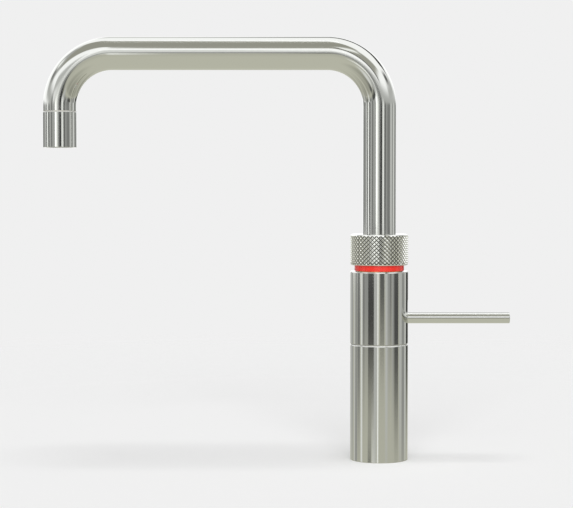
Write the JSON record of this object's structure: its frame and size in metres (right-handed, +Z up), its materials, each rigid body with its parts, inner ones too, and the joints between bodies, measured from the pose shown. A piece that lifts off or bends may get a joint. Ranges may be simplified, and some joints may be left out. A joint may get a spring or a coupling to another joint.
{
  "type": "boiling water tap",
  "caption": "Deck-mounted kitchen tap with a swivelling square spout, a side lever for mixed water and a knurled push-and-turn ring for boiling water.",
  "frame": {"origin": "centre of the base's underside, on the column's axis, in the plane of the worktop", "axes": "+Z up, the spout points along -X at rest and the lever along +X, -Y is the front"},
  "size_m": [0.3392, 0.042, 0.3075],
  "materials": {
    "polished_steel": "polished stainless steel with a fine vertical grain",
    "plain_steel": "plain machined steel",
    "brass": "machined, satin",
    "copper": "drawn copper tube",
    "rubber": "matt",
    "pale_plastic": "natural acetal",
    "dark_plastic": "matt",
    "ceramic": "lapped",
    "red_plastic": "glossy, slightly translucent"
  },
  "bodies": {
    "root": {"base_shell": "polished_steel", "base_gasket": "rubber", "inlet_manifold": "brass", "cold_riser": "copper", "hot_riser": "copper", "boiling_riser": "copper", "body_screws": "plain_steel", "valve_body": "brass", "cartridge_seal": "rubber", "cartridge_housing": "dark_plastic", "cartridge_nut": "brass", "lantern": "brass", "base_glide_ring": "pale_plastic", "upper_glide_ring": "pale_plastic", "indicator_ring": "red_plastic", "fixed_disc": "ceramic", "neck_tube": "brass", "neck_screws": "plain_steel", "drive_circlip": "plain_steel", "spout_glide_ring": "pale_plastic"},
    "mixer": {"mixer_sleeve": "polished_steel", "cartridge_head": "dark_plastic", "pivot_pin": "plain_steel"},
    "lever": {"lever_hub": "plain_steel", "lever_rod": "polished_steel", "lever_grub_screw": "plain_steel"},
    "hot_drive": {"drive_sleeve": "pale_plastic", "moving_disc": "ceramic", "return_spring": "plain_steel"},
    "hot_ring": {"knurled_ring": "polished_steel", "ring_liner": "pale_plastic"},
    "spout": {"spout_stem": "brass", "stem_o_rings": "rubber", "spout_snap_ring": "pale_plastic", "spout_tube": "polished_steel", "boiling_tube": "pale_plastic", "outlet_adapter": "brass", "aerator_seal": "rubber", "aerator_cage": "dark_plastic", "flow_straightener": "pale_plastic", "boiling_nozzle": "plain_steel", "outlet_sleeve": "polished_steel"}
  },
  "joints": [
    {"name": "spout_swivel", "type": "hinge", "parent": "root", "child": "spout", "pos_m": [0, 0, 0.15], "axis": [0, 0, 1], "continuous": true},
    {"name": "temperature_turn", "type": "hinge", "parent": "root", "child": "mixer", "pos_m": [0, 0, 0.11], "axis": [0, 0, 1], "range_deg": [-45, 45]},
    {"name": "lever_lift", "type": "hinge", "parent": "mixer", "child": "lever", "pos_m": [0, 0, 0.1035], "axis": [0, -1, 0], "range_deg": [0, 25]},
    {"name": "hot_turn", "type": "hinge", "parent": "root", "child": "hot_drive", "pos_m": [0, 0, 0.14], "axis": [0, 0, 1], "range_deg": [0, 90]},
    {"name": "hot_push", "type": "slide", "parent": "hot_drive", "child": "hot_ring", "axis": [0, 0, -1], "range_m": [0, 0.003], "stiffness_N_per_m": 1500, "springref_m": -0.002, "deforming": ["return_spring"]}
  ]
}
